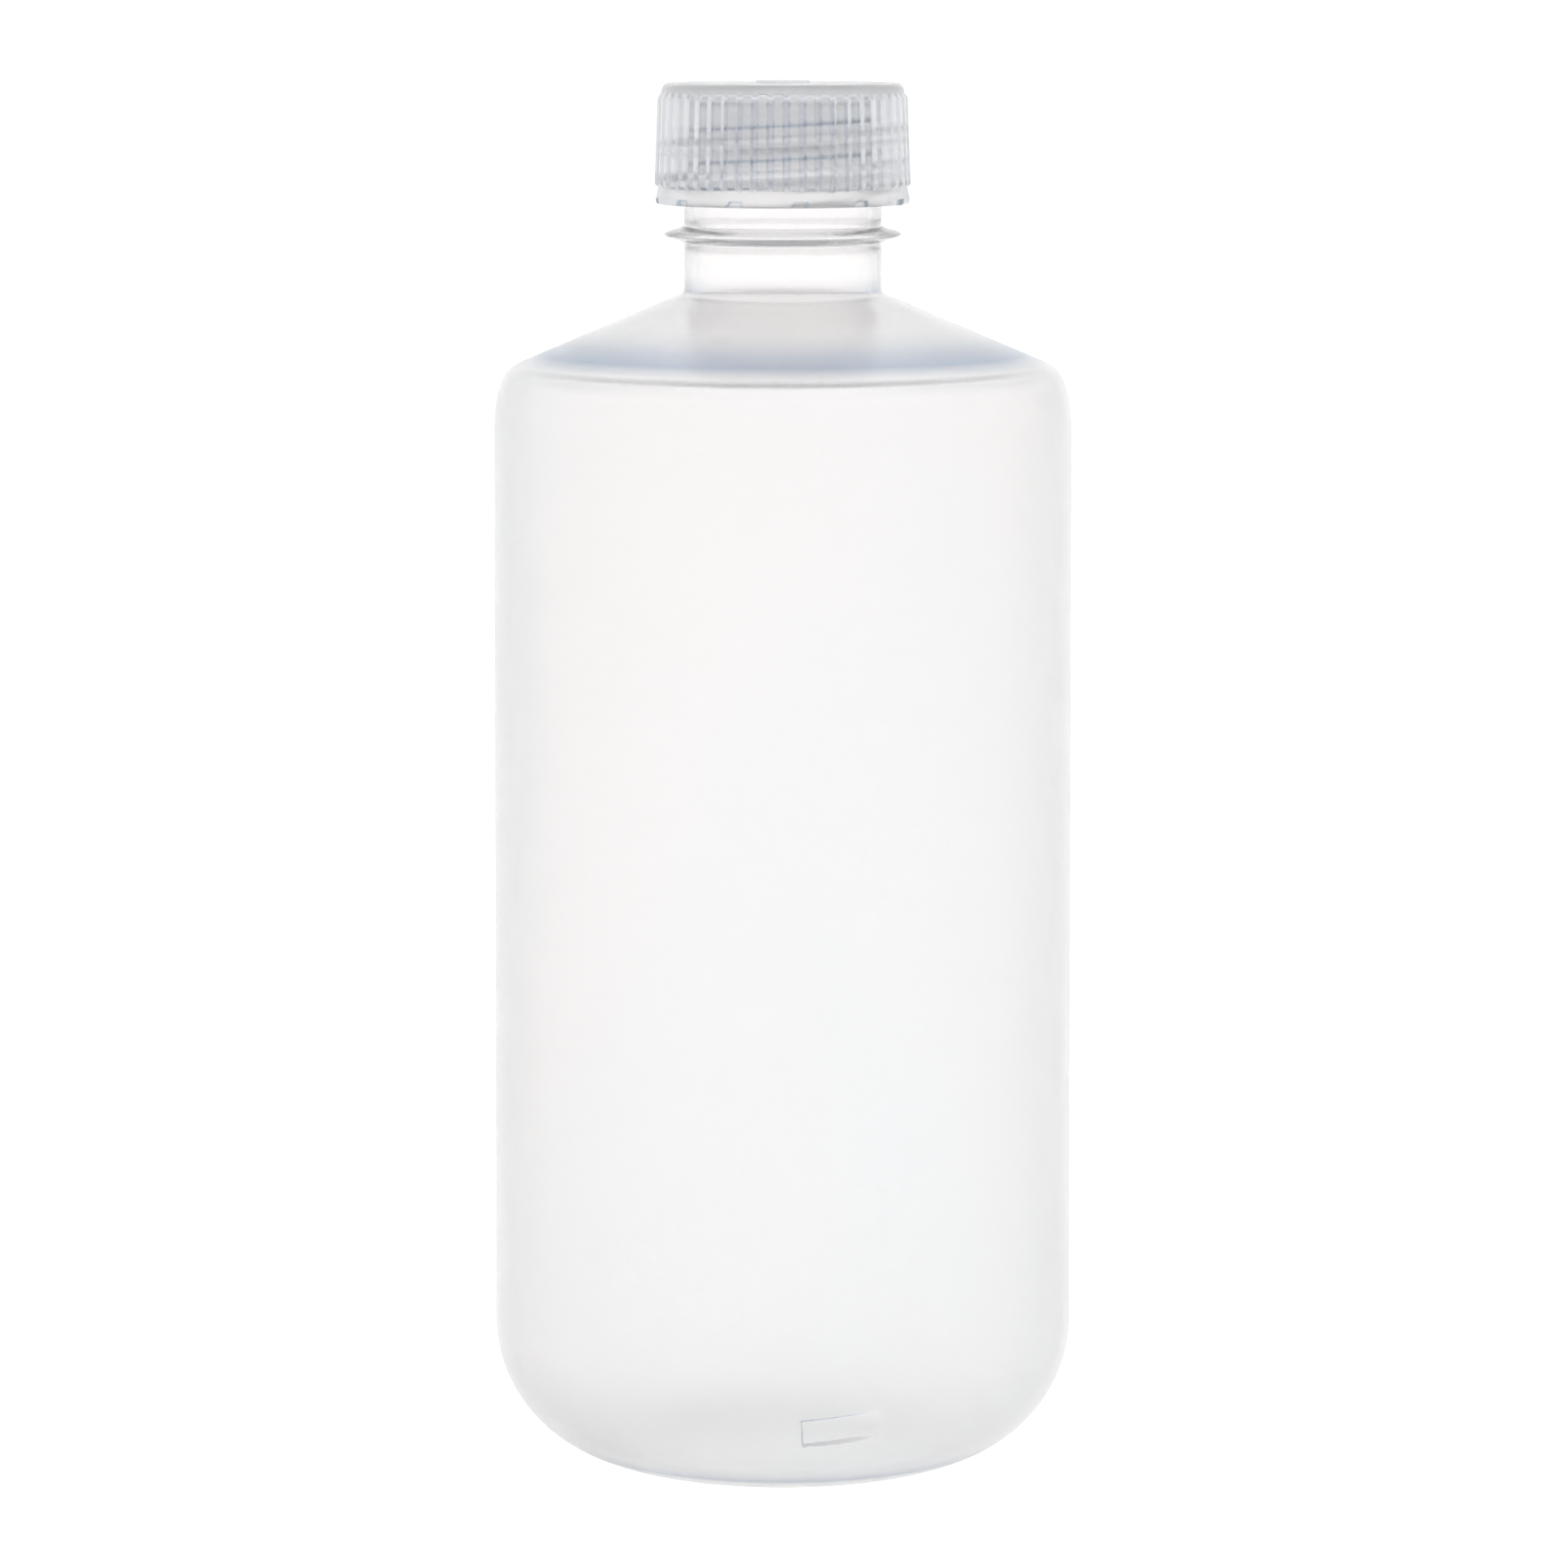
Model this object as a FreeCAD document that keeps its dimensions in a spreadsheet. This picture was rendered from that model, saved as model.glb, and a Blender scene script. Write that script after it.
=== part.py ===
"""Reagent bottle with a screw cap: a blow-moulded narrow-neck bottle, a ribbed cap and its sealing liner.

Millimetres, +Z up. The origin is the centre of the standing ring, on the surface the bottle stands on.
Section sketches are drawn in the XZ plane: sketch x is the radius, sketch y is the height.
"""

import FreeCAD, Part
import math
import os
import re

import Sketcher
from FreeCAD import Placement, Rotation, Vector

# Driving dimensions: alias -> (value, what it is). Millimetres and degrees.
DIMENSIONS = {
    # bottle
    "wall": (1.4, "wall thickness of the blow-moulded shell"),
    "base_dia": (74.9, "body diameter just above the heel"),
    "top_dia": (74.1, "body diameter where the shoulder starts"),
    "heel_radius": (17.9, "radius of the rounded heel in section"),
    "foot_width": (3.4, "width of the flat standing ring"),
    "push_up": (2.2, "rise of the base at its centre"),
    "shoulder_level": (134.7, "height where the side wall starts to curve in"),
    "shoulder_low_radius": (15.05, "section radius of the lower part of the shoulder bend"),
    "shoulder_high_radius": (4.0, "section radius of the upper part of the shoulder bend"),
    "cone_angle": (23.1, "slope of the conical shoulder"),
    "neck_level": (151.4, "height where the cone would meet the neck"),
    "neck_fillet": (0.9, "fillet between cone and neck"),
    "neck_dia": (25.3, "neck diameter at the root of the thread"),
    "mouth_level": (175.6, "height of the sealing land"),
    "rim_round": (0.3, "edge radius of the mouth"),
    # transfer ring under the cap
    "ring_level": (158.85, "mid height of the neck ring"),
    "ring_dia": (30.3, "diameter over the neck ring"),
    "ring_root": (1.45, "thickness of the ring at the neck"),
    "ring_edge": (0.5, "thickness of the ring at its edge"),
    # thread: 28 mm finish, 6 turns per inch, right-handed
    "pitch": (4.233, "rise per turn"),
    "thread_dia": (27.3, "diameter over the neck thread"),
    "thread_root": (1.9, "width of the neck thread at its root"),
    "thread_crest": (1.1, "width of the neck thread at its crest"),
    "thread_level": (163.6, "height of the lower end of the neck thread"),
    "thread_start": (-95.0, "bearing of the lower end of the neck thread"),
    "thread_turns": (2.2, "turns on the neck"),
    # locating recess in the heel
    "recess_bearing": (-77.5, "bearing of its middle"),
    "recess_drop": (23.8, "how far its middle lies down the heel arc"),
    "recess_length": (11.0, "length round the bottle"),
    "recess_width": (4.2, "width down the heel"),
    "recess_depth": (0.6, "depth into the wall at its middle"),
    "recess_tilt": (2.5, "how far its floor leans, deeper towards the left end"),
    "recess_climb": (7.5, "how far its right end is turned upwards"),
    # cap, measured from the lower end of its skirt
    "cap_seat": (162.7, "height of the skirt's lower end with the cap closed"),
    "cap_phase": (7.5, "bearing of the first ratchet notch, cap closed"),
    "cap_height": (15.4, "skirt end to top face"),
    "cap_plate": (1.6, "thickness of the top plate"),
    "cap_bore_dia": (28.0, "inside diameter of the skirt"),
    "band_height": (2.1, "height of the plain band under the ribs"),
    "band_dia": (32.45, "largest diameter of the plain band"),
    "band_neck_dia": (31.9, "diameter of the band under the ribs"),
    "band_round": (0.45, "edge radius of the band"),
    "top_valley_dia": (31.0, "diameter between ribs at the top"),
    "top_round": (1.05, "edge radius of the top"),
    "boss_dia": (6.9, "raised disc in the middle of the top"),
    "boss_rise": (0.3, "height of that disc"),
    "rib_count": (50, "ribs round the cap"),
    "rib_phase": (1.4, "bearing of the first rib from the first notch"),
    "rib_width": (1.5, "width of a rib at its root"),
    "rib_rise": (0.45, "height of a rib above the valleys"),
    "rib_draft": (31.0, "slope of a rib's flanks"),
    "rib_top": (14.3, "height of the upper end of a rib's crest"),
    "notch_count": (12, "ratchet notches in the skirt's end"),
    "notch_width": (2.3, "width of a notch at the skirt's end"),
    "notch_top": (1.6, "width of a notch at its top"),
    "notch_steep": (0.1, "how far the steep side of a notch leans"),
    "notch_height": (0.8, "height of a notch"),
    "notch_depth": (0.5, "how far a notch cuts into the skirt"),
    "cap_thread_root": (1.8, "width of the cap thread at its root"),
    "cap_thread_crest": (0.9, "width of the cap thread at its crest"),
    "cap_thread_dia": (26.0, "diameter inside the cap thread"),
    "cap_thread_drop": (1.5, "how far the cap thread lies under the neck thread"),
    "cap_thread_level": (2.2, "height of the lower end of the cap thread"),
    "cap_thread_turns": (2.0, "turns in the cap"),
    # liner
    "liner_dia": (26.8, "diameter of the sealing liner"),
    "liner_edge": (0.15, "chamfer of the liner's edges"),
}

SHEET = "Dimensions"
BURY = 0.4   # how deep ribs, threads and ring start inside the wall they grow from, so that they fuse
PAST = 1.0   # how far a cut runs on past the face that it opens

doc = FreeCAD.newDocument("reagent_bottle")


def make_sheet():
    sheet = doc.addObject("Spreadsheet::Sheet", SHEET)
    for row, (alias, (value, meaning)) in enumerate(DIMENSIONS.items(), start=1):
        sheet.set(f"A{row}", alias)
        sheet.set(f"B{row}", str(value))
        sheet.set(f"C{row}", meaning)
        sheet.setAlias(f"B{row}", alias)
    doc.recompute()
    return sheet


def size(alias):
    return DIMENSIONS[alias][0]


def bound(text):
    """An expression on the sheet: every alias in it gets the sheet's name in front."""
    return re.sub(r"[a-z_]+", lambda m: f"{SHEET}.{m[0]}" if m[0] in DIMENSIONS else m[0], text)


def plane(body, role):
    return next(f for f in body.Origin.OriginFeatures if f.Role == role)


class Outline:
    """A closed sketch drawn edge by edge, each size a named constraint bound to the sheet."""

    def __init__(self, body, name, role="XZ_Plane", bearing=None):
        self.sketch = body.newObject("Sketcher::SketchObject", name)
        self.sketch.AttachmentSupport = (plane(body, role), "")
        self.sketch.MapMode = "FlatFace"
        if bearing is not None:
            turn = Rotation(Vector(0, 1, 0), size(bearing))
            self.sketch.AttachmentOffset = Placement(Vector(), turn)
            self.sketch.setExpression(".AttachmentOffset.Rotation.Angle", bound(bearing) + " * 1 deg")

    def line(self, start, end):
        return self.sketch.addGeometry(Part.LineSegment(Vector(*start, 0), Vector(*end, 0)), False)

    def arc(self, centre, radius, start, end):
        """Counter-clockwise from start to end, in degrees."""
        circle = Part.Circle(Vector(*centre, 0), Vector(0, 0, 1), radius)
        edge = Part.ArcOfCircle(circle, math.radians(start), math.radians(end))
        return self.sketch.addGeometry(edge, False)

    def rule(self, kind, *where):
        return self.sketch.addConstraint(Sketcher.Constraint(kind, *where))

    def size(self, kind, *where, by):
        """A dimension whose value is the expression by; the last of where is its first value."""
        index = self.rule(kind, *where)
        self.sketch.setExpression(f"Constraints[{index}]", bound(by))
        return index

    def place(self, edge, end, x_by, y_by):
        """Hold one end of an edge at a radius and a height; None leaves that free."""
        at = self.sketch.getPoint(edge, end)
        if x_by == "0":
            self.rule("PointOnObject", edge, end, -2)
        elif x_by:
            self.size("DistanceX", -1, 1, edge, end, at.x, by=x_by)
        if y_by == "0":
            self.rule("PointOnObject", edge, end, -1)
        elif y_by:
            self.size("DistanceY", -1, 1, edge, end, at.y, by=y_by)

    def polygon(self, corners, exprs):
        """Straight edges through corners; exprs holds the (x, y) expressions of each corner."""
        edges = []
        for number, corner in enumerate(corners):
            edges.append(self.line(corner, corners[(number + 1) % len(corners)]))
        for number, edge in enumerate(edges):
            self.rule("Coincident", edge, 2, edges[(number + 1) % len(edges)], 1)
        for edge, (x_by, y_by) in zip(edges, exprs):
            self.place(edge, 1, x_by, y_by)
        return edges


def check_change(feature, sign):
    """The feature must have added (+1) or removed (-1) material, or it pointed the wrong way."""
    doc.recompute()
    change = feature.Shape.Volume - feature.BaseFeature.Shape.Volume
    if change * sign <= 0:
        raise RuntimeError(f"{feature.Name} changed the volume by {change:.3f} mm3")


def new_body(name):
    body = doc.addObject("PartDesign::Body", name)
    body.Label = name
    return body


def revolve(body, kind, name, sketch):
    """A full Revolution or Groove of a section about the height axis."""
    feature = body.newObject(f"PartDesign::{kind}", name)
    feature.Profile = sketch
    feature.ReferenceAxis = (sketch, ["V_Axis"])
    feature.Angle = 360.0
    sketch.Visibility = False
    return feature


def coil(body, name, sketch, turns):
    """A right-handed thread: the section wound up the height axis."""
    feature = body.newObject("PartDesign::AdditiveHelix", name)
    feature.Profile = sketch
    feature.ReferenceAxis = (sketch, ["V_Axis"])
    feature.Mode = "pitch-turns-angle"
    feature.setExpression("Pitch", bound("pitch"))
    feature.setExpression("Turns", bound(turns))
    return feature


def repeat(body, name, feature, count):
    """A feature repeated evenly round the height axis."""
    pattern = body.newObject("PartDesign::PolarPattern", name)
    pattern.Originals = [feature]
    pattern.Axis = (plane(body, "Z_Axis"), [""])
    pattern.Angle = 360.0
    pattern.setExpression("Occurrences", bound(count))
    body.Tip = pattern
    return pattern


def shell_outline(body, name, inset, top):
    """The bottle's profile without ring and thread, moved inwards by inset: the outside, or the cavity."""
    gap = size(inset) if inset in DIMENSIONS else float(inset)
    slope = math.radians(size("cone_angle"))
    normal = Vector(math.sin(slope), math.cos(slope), 0)
    heel = Vector(size("base_dia") / 2 - size("heel_radius"), size("heel_radius"), 0)
    low = Vector(size("top_dia") / 2 - size("shoulder_low_radius"), size("shoulder_level"), 0)
    neck = Vector(size("neck_dia") / 2, size("neck_level"), 0)
    spread = size("shoulder_low_radius") - size("shoulder_high_radius")
    reach = normal.dot(neck) - size("shoulder_high_radius") - normal.dot(low)
    bend = math.asin(reach / spread) - slope
    high = low + Vector(math.cos(bend), math.sin(bend), 0) * spread
    neck_x = neck.x - gap
    neck_y = neck.y - gap * (1 - math.sin(slope)) / math.cos(slope)
    curl = size("neck_fillet") + gap
    # centre of the fillet: clear of the neck line and of the cone line by its own radius
    curl_x = neck_x + curl
    curl_y = neck_y + curl * (1 - math.sin(slope)) / math.cos(slope)
    foot_in = heel.x - size("foot_width")
    rise = size("push_up")
    dome_radius = (foot_in ** 2 + rise ** 2) / (2 * rise)
    dome_start = math.degrees(math.acos(foot_in / dome_radius))
    top_y = size("mouth_level") + PAST
    cone_normal = 90 - size("cone_angle")
    cone_start = high + normal * (size("shoulder_high_radius") - gap)
    cone_end = Vector(curl_x, curl_y, 0) - normal * curl

    out = Outline(body, name)
    dome = out.arc((0, gap + rise - dome_radius), dome_radius, dome_start, 90)
    foot = out.line((foot_in, gap), (heel.x, gap))
    bend_heel = out.arc((heel.x, heel.y), heel.y - gap, -90, 0)
    side = out.line((size("base_dia") / 2 - gap, heel.y), (size("top_dia") / 2 - gap, low.y))
    bend_low = out.arc((low.x, low.y), size("shoulder_low_radius") - gap, 0, math.degrees(bend))
    high_radius = size("shoulder_high_radius") - gap
    bend_high = out.arc((high.x, high.y), high_radius, math.degrees(bend), cone_normal)
    cone = out.line((cone_start.x, cone_start.y), (cone_end.x, cone_end.y))
    fillet = out.arc((curl_x, curl_y), curl, 180, 180 + cone_normal)
    shaft = out.line((neck_x, curl_y), (neck_x, top_y))
    land = out.line((neck_x, top_y), (0, top_y))
    axis = out.line((0, top_y), (0, gap + rise))
    corner = out.sketch.addGeometry(Part.Point(Vector(neck_x, neck_y, 0)), True)

    for first, last in ((foot, bend_heel), (bend_heel, side), (side, bend_low), (bend_low, bend_high),
                        (bend_high, cone)):
        out.rule("Tangent", first, 2, last, 1)
    out.rule("Tangent", cone, 2, fillet, 2)
    out.rule("Tangent", fillet, 1, shaft, 1)
    out.rule("Coincident", dome, 1, foot, 1)
    out.rule("Coincident", shaft, 2, land, 1)
    out.rule("Coincident", land, 2, axis, 1)
    out.rule("Coincident", axis, 2, dome, 2)
    out.rule("PointOnObject", dome, 3, -2)
    out.rule("Horizontal", foot)
    out.rule("Vertical", shaft)
    out.rule("Horizontal", land)
    out.rule("PointOnObject", corner, 1, cone)

    out.place(dome, 2, "0", f"push_up + {inset}")
    out.place(foot, 1, "base_dia / 2 - heel_radius - foot_width", inset if gap else "0")
    out.place(bend_heel, 3, "base_dia / 2 - heel_radius", "heel_radius")
    out.place(side, 2, f"top_dia / 2 - {inset}", "shoulder_level")
    out.size("Radius", bend_low, size("shoulder_low_radius") - gap, by=f"shoulder_low_radius - {inset}")
    out.size("Angle", cone, math.radians(180 - size("cone_angle")), by="180 deg - cone_angle * 1 deg")
    lift = "( 1 - sin( cone_angle * 1 deg ) ) / cos( cone_angle * 1 deg )"
    out.place(corner, 1, f"neck_dia / 2 - {inset}", f"neck_level - {inset} * {lift}")
    out.size("Radius", fillet, curl, by=f"neck_fillet + {inset}")
    out.place(shaft, 2, f"neck_dia / 2 - {inset}", top)
    out.place(land, 2, "0", None)
    return out.sketch


def trapezoid(body, name, bearing, root_x, crest_x, level, root_width, crest_width, exprs):
    """A thread or ring section: root_x and crest_x are radii, level is its mid height."""
    out = Outline(body, name, bearing=bearing)
    corners = [(root_x, level - root_width / 2), (crest_x, level - crest_width / 2),
               (crest_x, level + crest_width / 2), (root_x, level + root_width / 2)]
    if crest_x < root_x:
        corners.reverse()
        exprs = exprs[::-1]
    out.polygon(corners, exprs)
    return out.sketch


def section_exprs(root_x, crest_x, level, root_width, crest_width):
    return [(root_x, f"{level} - {root_width} / 2"), (crest_x, f"{level} - {crest_width} / 2"),
            (crest_x, f"{level} + {crest_width} / 2"), (root_x, f"{level} + {root_width} / 2")]


def make_bottle():
    body = new_body("bottle_shell")
    outside = shell_outline(body, "outside_section", "0", "mouth_level")
    revolve(body, "Revolution", "solid_form", outside)
    doc.recompute()
    cavity = shell_outline(body, "cavity_section", "wall", f"mouth_level + {PAST}")
    hollow = revolve(body, "Groove", "cavity", cavity)
    check_change(hollow, -1)

    rim_edges = [f"Edge{n}" for n, edge in enumerate(hollow.Shape.Edges, start=1)
                 if abs(edge.BoundBox.ZMin - size("mouth_level")) < 0.01]
    rim = body.newObject("PartDesign::Fillet", "rim")
    rim.Base = (hollow, rim_edges)
    rim.setExpression("Radius", bound("rim_round"))
    check_change(rim, -1)

    neck_x = size("neck_dia") / 2
    ring_exprs = section_exprs(f"neck_dia / 2 - {BURY}", "ring_dia / 2", "ring_level",
                               "ring_root", "ring_edge")
    ring_section = trapezoid(body, "ring_section", None, neck_x - BURY, size("ring_dia") / 2,
                             size("ring_level"), size("ring_root"), size("ring_edge"), ring_exprs)
    ring = revolve(body, "Revolution", "neck_ring", ring_section)
    check_change(ring, 1)

    thread_exprs = section_exprs(f"neck_dia / 2 - {BURY}", "thread_dia / 2", "thread_level",
                                 "thread_root", "thread_crest")
    thread_section = trapezoid(body, "thread_section", "thread_start", neck_x - BURY, size("thread_dia") / 2,
                               size("thread_level"), size("thread_root"), size("thread_crest"), thread_exprs)
    thread = coil(body, "neck_thread", thread_section, "thread_turns")
    check_change(thread, 1)

    body.Tip = thread

    doc.recompute()
    whole = body.Shape.Volume
    bottle = doc.addObject("Part::Cut", "bottle")
    bottle.Label = "bottle"
    bottle.Base = body
    bottle.Tool = make_recess()
    doc.recompute()
    if bottle.Shape.Volume >= whole:
        raise RuntimeError("the recess cut nothing")
    return bottle


def make_recess():
    """The block that cuts a shallow flat-floored locating recess into the curved heel."""
    bearing = Rotation(Vector(0, 0, 1), size("recess_bearing"))
    level_floor = bearing.multiply(Rotation(Vector(0, 1, 0), size("recess_drop")))
    climbing = level_floor.multiply(Rotation(Vector(1, 0, 0), size("recess_climb")))
    facing = climbing.multiply(Rotation(Vector(0, 0, 1), -size("recess_tilt")))
    heel = bearing.multVec(Vector(size("base_dia") / 2 - size("heel_radius"), 0, size("heel_radius")))
    middle = level_floor.multVec(Vector(size("heel_radius") - size("recess_depth"), 0, 0))
    corner = facing.multVec(Vector(0, -size("recess_length") / 2, -size("recess_width") / 2))
    box = doc.addObject("Part::Box", "locating_recess")
    box.setExpression("Length", bound("3 * recess_depth"))
    box.setExpression("Width", bound("recess_length"))
    box.setExpression("Height", bound("recess_width"))
    box.Placement = Placement(heel + middle + corner, facing)
    return box


def cap_section(body):
    """Half section of the closure between its ribs: skirt, plain band, top plate and centre disc."""
    out = Outline(body, "cap_section")
    bore = size("cap_bore_dia") / 2
    band = size("band_dia") / 2
    waist = size("band_neck_dia") / 2
    crown = size("top_valley_dia") / 2
    top = size("cap_height")
    under = top - size("cap_plate")
    curve = size("top_round")
    edge = size("band_round")
    boss = size("boss_dia") / 2
    peak = top + size("boss_rise")

    end_face = out.line((bore, 0), (band - edge, 0))
    end_round = out.arc((band - edge, edge), edge, -90, 0)
    plain = out.line((band, edge), (waist, size("band_height")))
    skirt = out.line((waist, size("band_height")), (crown, top - curve))
    shoulder = out.arc((crown - curve, top - curve), curve, 0, 90)
    face = out.line((crown - curve, top), (boss, top))
    step = out.line((boss, top), (boss, peak))
    disc = out.line((boss, peak), (0, peak))
    axis = out.line((0, peak), (0, under))
    ceiling = out.line((0, under), (bore, under))
    inside = out.line((bore, under), (bore, 0))

    chain = [end_face, end_round, plain, skirt, shoulder, face, step, disc, axis, ceiling, inside]
    smooth = [(end_face, end_round), (end_round, plain), (skirt, shoulder), (shoulder, face)]
    for first, last in zip(chain, chain[1:] + chain[:1]):
        out.rule("Tangent" if (first, last) in smooth else "Coincident", first, 2, last, 1)
    for flat in (end_face, face, disc, ceiling):
        out.rule("Horizontal", flat)
    for upright in (step, inside):
        out.rule("Vertical", upright)
    out.place(end_face, 1, "cap_bore_dia / 2", "0")
    out.size("Radius", end_round, edge, by="band_round")
    out.place(end_round, 3, "band_dia / 2 - band_round", None)
    out.place(plain, 2, "band_neck_dia / 2", "band_height")
    out.size("Radius", shoulder, curve, by="top_round")
    out.place(shoulder, 3, "top_valley_dia / 2 - top_round", None)
    out.place(face, 2, "boss_dia / 2", "cap_height")
    out.place(disc, 2, "0", "cap_height + boss_rise")
    out.place(ceiling, 1, "0", "cap_height - cap_plate")
    return out.sketch


def make_rib(body):
    """One gripping rib: its side view on the XZ plane, drafted both ways to a roof-shaped section."""
    out = Outline(body, "rib_section", bearing="rib_phase")
    waist = size("band_neck_dia") / 2
    crown = size("top_valley_dia") / 2
    rise = size("rib_rise")
    foot = size("band_height")
    root = crown - rise - BURY
    top = size("rib_top")
    corners = [(root, foot), (waist, foot), (waist + rise, foot + rise), (crown + rise, top - rise),
               (crown, top), (root, top)]
    root_by = f"top_valley_dia / 2 - rib_rise - {BURY}"
    out.polygon(corners, [
        (root_by, "band_height"), ("band_neck_dia / 2", "band_height"),
        ("band_neck_dia / 2 + rib_rise", "band_height + rib_rise"),
        ("top_valley_dia / 2 + rib_rise", "rib_top - rib_rise"),
        ("top_valley_dia / 2", "rib_top"), (root_by, "rib_top")])
    rib = body.newObject("PartDesign::Pad", "rib")
    rib.Profile = out.sketch
    rib.SideType = "Symmetric"
    rib.setExpression("Length", bound("rib_width"))
    rib.setExpression("TaperAngle", bound("-1 deg * rib_draft"))
    return rib


def make_notch(body):
    """One ratchet notch in the skirt's lower end, with a steep side and a sloping side."""
    out = Outline(body, "notch_section", role="YZ_Plane")
    stand_off = size("band_dia") / 2 - size("notch_depth")
    out.sketch.AttachmentOffset = Placement(Vector(0, 0, stand_off), Rotation())
    out.sketch.setExpression(".AttachmentOffset.Base.z", bound("band_dia / 2 - notch_depth"))
    half = size("notch_width") / 2
    top = size("notch_height")
    steep_top = half - size("notch_steep")
    out.polygon(
        [(-half, 0), (half, 0), (steep_top, top), (steep_top - size("notch_top"), top)],
        [("-1 * notch_width / 2", "0"), ("notch_width / 2", "0"),
         ("notch_width / 2 - notch_steep", "notch_height"),
         ("notch_width / 2 - notch_steep - notch_top", "notch_height")])
    notch = body.newObject("PartDesign::Pocket", "notch")
    notch.Profile = out.sketch
    notch.Reversed = True
    notch.setExpression("Length", bound(f"notch_depth + {PAST}"))
    return notch


def make_cap():
    body = new_body("screw_cap")
    revolve(body, "Revolution", "cap_form", cap_section(body))
    doc.recompute()

    rib = make_rib(body)
    check_change(rib, 1)
    ribs = repeat(body, "ribs", rib, "rib_count")
    check_change(ribs, 1)

    notch = make_notch(body)
    check_change(notch, -1)
    notches = repeat(body, "notches", notch, "notch_count")
    check_change(notches, -1)

    # The cap thread follows the neck thread's helix, lower by cap_thread_drop.
    lead_in = "cap_seat + cap_thread_level + cap_thread_drop - thread_level"
    bearing = f"thread_start + 360 * ( {lead_in} ) / pitch - cap_phase"
    wall_x = size("cap_bore_dia") / 2
    exprs = section_exprs(f"cap_bore_dia / 2 + {BURY}", "cap_thread_dia / 2", "cap_thread_level",
                          "cap_thread_root", "cap_thread_crest")
    section = trapezoid(body, "cap_thread_section", None, wall_x + BURY, size("cap_thread_dia") / 2,
                        size("cap_thread_level"), size("cap_thread_root"), size("cap_thread_crest"), exprs)
    upright = Vector(0, 1, 0)
    section.AttachmentOffset = Placement(Vector(), Rotation(upright, size("cap_phase")))
    section.setExpression(".AttachmentOffset.Rotation.Angle", bound(f"( {bearing} ) * 1 deg"))
    thread = coil(body, "cap_thread", section, "cap_thread_turns")
    check_change(thread, 1)
    body.Tip = thread

    body.Placement = Placement(Vector(0, 0, size("cap_seat")), Rotation(Vector(0, 0, 1), size("cap_phase")))
    body.setExpression("Placement.Base.z", bound("cap_seat"))
    body.setExpression("Placement.Rotation.Angle", bound("cap_phase * 1 deg"))
    return body


def make_liner():
    """The soft disc between the mouth and the underside of the cap's top plate."""
    body = new_body("sealing_liner")
    out = Outline(body, "liner_section", role="XY_Plane")
    ring = out.sketch.addGeometry(Part.Circle(Vector(), Vector(0, 0, 1), size("liner_dia") / 2), False)
    out.rule("Coincident", ring, 3, -1, 1)
    out.size("Radius", ring, size("liner_dia") / 2, by="liner_dia / 2")
    disc = body.newObject("PartDesign::Pad", "disc")
    disc.Profile = out.sketch
    disc.setExpression("Length", bound("cap_seat + cap_height - cap_plate - mouth_level"))
    doc.recompute()
    edges = [f"Edge{n}" for n, edge in enumerate(disc.Shape.Edges, start=1) if edge.Closed]
    bevel = body.newObject("PartDesign::Chamfer", "bevel")
    bevel.Base = (disc, edges)
    bevel.setExpression("Size", bound("liner_edge"))
    check_change(bevel, -1)
    body.Tip = bevel
    body.setExpression("Placement.Base.z", bound("mouth_level"))
    return body


def export(bodies):
    doc.recompute()
    for thing in doc.Objects:
        if "Invalid" in thing.State or "Error" in thing.State:
            raise RuntimeError(f"{thing.Name} failed: {thing.State}")
    os.makedirs("parts", exist_ok=True)
    for body in bodies:
        shape = body.Shape
        if shape.isNull() or not shape.isValid() or len(shape.Solids) != 1:
            raise RuntimeError(f"{body.Label} is not one valid solid")
        shape.exportStep(f"parts/{body.Label}.step")
        box = shape.optimalBoundingBox(False, False)
        print(f"{body.Label}: {shape.Volume / 1000:.2f} cm3, {len(shape.Faces)} faces,"
              f" radius {box.XMax:.2f}, height {box.ZMin:.2f} to {box.ZMax:.2f}")


make_sheet()
export([make_bottle(), make_cap(), make_liner()])
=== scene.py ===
"""Looks of a reagent bottle in natural polypropylene: a blow-moulded bottle, its ribbed screw cap and
its sealing liner.

Every piece is built ring by ring about the bottle's axis. Rings are lists of (bearing in degrees,
radius, height), in millimetres in the CAD model's frame. A Skin joins them into one closed surface and
turns it into metres.
"""
import math

import bmesh
import bpy
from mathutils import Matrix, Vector


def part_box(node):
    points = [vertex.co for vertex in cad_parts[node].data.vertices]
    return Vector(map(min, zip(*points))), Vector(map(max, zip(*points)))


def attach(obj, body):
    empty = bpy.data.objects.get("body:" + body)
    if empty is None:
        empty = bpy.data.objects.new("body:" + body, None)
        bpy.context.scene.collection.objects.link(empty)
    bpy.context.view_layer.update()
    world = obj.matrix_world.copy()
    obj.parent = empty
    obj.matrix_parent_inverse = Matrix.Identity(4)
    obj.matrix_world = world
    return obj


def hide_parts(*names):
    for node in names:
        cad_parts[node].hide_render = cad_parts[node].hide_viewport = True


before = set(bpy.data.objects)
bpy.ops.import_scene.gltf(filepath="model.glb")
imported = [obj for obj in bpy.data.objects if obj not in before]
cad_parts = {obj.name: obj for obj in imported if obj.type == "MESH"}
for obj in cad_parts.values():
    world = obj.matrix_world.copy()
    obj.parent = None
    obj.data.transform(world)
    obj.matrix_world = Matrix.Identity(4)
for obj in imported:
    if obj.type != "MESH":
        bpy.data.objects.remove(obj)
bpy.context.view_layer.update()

MM = 0.001
MERGE = 1e-7          # metres within which two points are one
SHARP = 38.0          # degrees between faces from which an edge stays sharp
PAINTED_SHADE = "painted_shade"         # point attribute: how much shade is painted into the colour, 0 to 1


def box_mm(node):
    low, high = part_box(node)
    return low / MM, high / MM


bottle_high = box_mm("bottle")[1]
cap_low = box_mm("screw_cap")[0]
liner_low, liner_high = box_mm("sealing_liner")

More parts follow.
